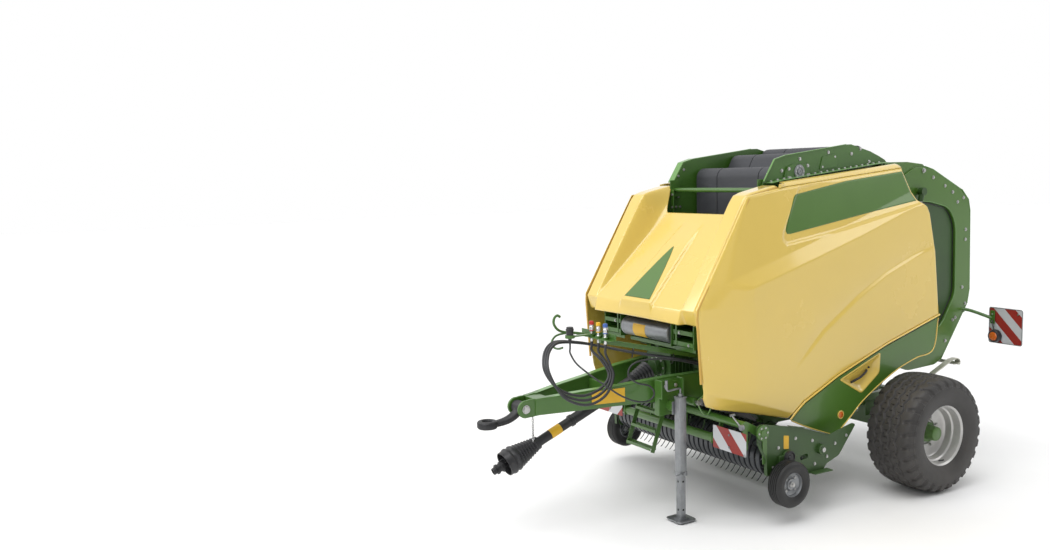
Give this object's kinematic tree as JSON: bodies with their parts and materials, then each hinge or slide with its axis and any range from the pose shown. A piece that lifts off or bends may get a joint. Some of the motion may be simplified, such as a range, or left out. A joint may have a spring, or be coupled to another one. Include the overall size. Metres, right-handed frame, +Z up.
{
  "type": "round baler",
  "caption": "Trailed round baler with a belt chamber: lifting tailgate, hood and side doors, a pickup with tine reel, a drawbar with a jack, and a pair of road wheels.",
  "frame": {"origin": "on the floor, under the middle of the whole machine", "axes": "+Z up, +Y to the rear of the machine, +X to its left side"},
  "size_m": [2.834, 5.3625, 3.163],
  "materials": {
    "green_paint": "semi-gloss leaf green paint",
    "cream_paint": "glossy cream moulded panels with green bands",
    "dark_green_paint": "semi-gloss dark green paint",
    "tyre_rubber": "black tyre rubber",
    "belting": "dark grey rubber baling belt",
    "zinc": "galvanised steel",
    "silver_paint": "silver painted wheel rim",
    "dark_steel": "dark forged steel",
    "black_plastic": "black ribbed plastic guard",
    "hose_rubber": "black hydraulic hose",
    "warning_board": "red and white diagonal stripes",
    "band_steel": "dark grey painted stripper bands"
  },
  "bodies": {
    "chassis": {"chassis_frame": "green_paint", "top_cross_tube": "green_paint", "chamber_wall_left": "green_paint", "chamber_wall_right": "green_paint", "axle": "green_paint", "drawbar": "green_paint", "hitch_eye": "dark_steel", "gearbox": "dark_green_paint", "pto_guard": "black_plastic", "pto_shaft": "dark_steel", "upper_belts": "belting", "belt_roller_front": "dark_steel", "belt_roller_middle": "dark_steel", "belt_roller_rear": "dark_steel", "net_roll": "zinc", "net_box": "green_paint", "lower_skirt_left": "green_paint", "lower_skirt_right": "green_paint", "hose_holder": "green_paint", "hose_1": "hose_rubber", "hose_2": "hose_rubber", "hose_3": "hose_rubber", "electric_cable": "hose_rubber", "ladder": "green_paint", "bale_ramp": "zinc"},
    "front_hood": {"front_hood": "cream_paint"},
    "side_door_left": {"side_door_left": "cream_paint"},
    "side_door_right": {"side_door_right": "cream_paint"},
    "tailgate": {"tailgate_frame": "green_paint", "tailgate_belts": "belting", "tailgate_roller_upper": "dark_steel", "tailgate_roller_lower": "dark_steel", "light_board_left": "warning_board", "light_board_right": "warning_board"},
    "cylinder_barrel_left": {"cylinder_barrel_left": "dark_green_paint"},
    "cylinder_rod_left": {"cylinder_rod_left": "zinc"},
    "cylinder_barrel_right": {"cylinder_barrel_right": "dark_green_paint"},
    "cylinder_rod_right": {"cylinder_rod_right": "zinc"},
    "wheel_left": {"tyre_left": "tyre_rubber", "rim_left": "silver_paint"},
    "wheel_right": {"tyre_right": "tyre_rubber", "rim_right": "silver_paint"},
    "pickup": {"pickup_frame": "dark_green_paint", "pickup_bands": "band_steel"},
    "tine_reel": {"tine_reel": "dark_steel"},
    "wind_guard": {"wind_guard": "green_paint", "warning_plate_left": "warning_board", "warning_plate_right": "warning_board"},
    "gauge_wheel_left": {"gauge_wheel_left": "tyre_rubber"},
    "gauge_wheel_right": {"gauge_wheel_right": "tyre_rubber"},
    "jack_sleeve": {"jack_sleeve": "zinc"},
    "jack_leg": {"jack_leg": "zinc"}
  },
  "joints": [
    {"name": "wheel_spin_left", "type": "hinge", "parent": "chassis", "child": "wheel_left", "pos_m": [1.167, 1.32, 0.53], "axis": [1, 0, 0], "continuous": true},
    {"name": "wheel_spin_right", "type": "hinge", "parent": "chassis", "child": "wheel_right", "pos_m": [-1.167, 1.32, 0.53], "axis": [1, 0, 0], "continuous": true},
    {"name": "tailgate_lift", "type": "hinge", "parent": "chassis", "child": "tailgate", "pos_m": [0, 1.38, 2.93], "axis": [1, 0, 0], "range_deg": [0, 60]},
    {"name": "cylinder_swing_left", "type": "hinge", "parent": "chassis", "child": "cylinder_barrel_left", "pos_m": [0.725, 1.44, 1.4], "axis": [1, 0, 0], "range_deg": [0, 4.99]},
    {"name": "cylinder_extend_left", "type": "slide", "parent": "cylinder_barrel_left", "child": "cylinder_rod_left", "axis": [0, 0.2806, 0.9598], "range_m": [0, 0.4777]},
    {"name": "cylinder_swing_right", "type": "hinge", "parent": "chassis", "child": "cylinder_barrel_right", "pos_m": [-0.725, 1.44, 1.4], "axis": [1, 0, 0], "range_deg": [0, 4.99]},
    {"name": "cylinder_extend_right", "type": "slide", "parent": "cylinder_barrel_right", "child": "cylinder_rod_right", "axis": [0, 0.2806, 0.9598], "range_m": [0, 0.4777]},
    {"name": "hood_lift", "type": "hinge", "parent": "chassis", "child": "front_hood", "pos_m": [0, -0.15, 2.87], "axis": [-1, 0, 0], "range_deg": [0, 50]},
    {"name": "side_door_lift_left", "type": "hinge", "parent": "chassis", "child": "side_door_left", "pos_m": [0.8, 0.42, 2.862], "axis": [0, -0.9937, -0.1122], "range_deg": [0, 70]},
    {"name": "side_door_lift_right", "type": "hinge", "parent": "chassis", "child": "side_door_right", "pos_m": [-0.8, 0.42, 2.862], "axis": [0, 0.9937, 0.1122], "range_deg": [0, 70]},
    {"name": "pickup_lift", "type": "hinge", "parent": "chassis", "child": "pickup", "pos_m": [0, 0.34, 0.74], "axis": [1, 0, 0], "range_deg": [0, 12]},
    {"name": "tine_reel_spin", "type": "hinge", "parent": "pickup", "child": "tine_reel", "pos_m": [0, -0.38, 0.535], "axis": [1, 0, 0], "continuous": true},
    {"name": "wind_guard_lift", "type": "hinge", "parent": "pickup", "child": "wind_guard", "pos_m": [0, -0.56, 0.775], "axis": [-1, 0, 0], "range_deg": [0, 12]},
    {"name": "gauge_wheel_spin_left", "type": "hinge", "parent": "pickup", "child": "gauge_wheel_left", "pos_m": [1.143, -0.36, 0.336], "axis": [1, 0, 0], "continuous": true},
    {"name": "gauge_wheel_spin_right", "type": "hinge", "parent": "pickup", "child": "gauge_wheel_right", "pos_m": [-1.143, -0.36, 0.336], "axis": [1, 0, 0], "continuous": true},
    {"name": "jack_swing", "type": "hinge", "parent": "chassis", "child": "jack_sleeve", "pos_m": [0.6, -1.065, 0.97], "axis": [-1, 0, 0], "range_deg": [0, 88]},
    {"name": "jack_extend", "type": "slide", "parent": "jack_sleeve", "child": "jack_leg", "axis": [0, 0, 1], "range_m": [0, 0.2]}
  ],
  "couplings": [
    {"joint": "cylinder_swing_left", "follows": "tailgate_lift", "ratio": 0.083081},
    {"joint": "cylinder_extend_left", "follows": "tailgate_lift", "m_per_rad": 0.45571},
    {"joint": "cylinder_swing_right", "follows": "tailgate_lift", "ratio": 0.083081},
    {"joint": "cylinder_extend_right", "follows": "tailgate_lift", "m_per_rad": 0.45571}
  ]
}
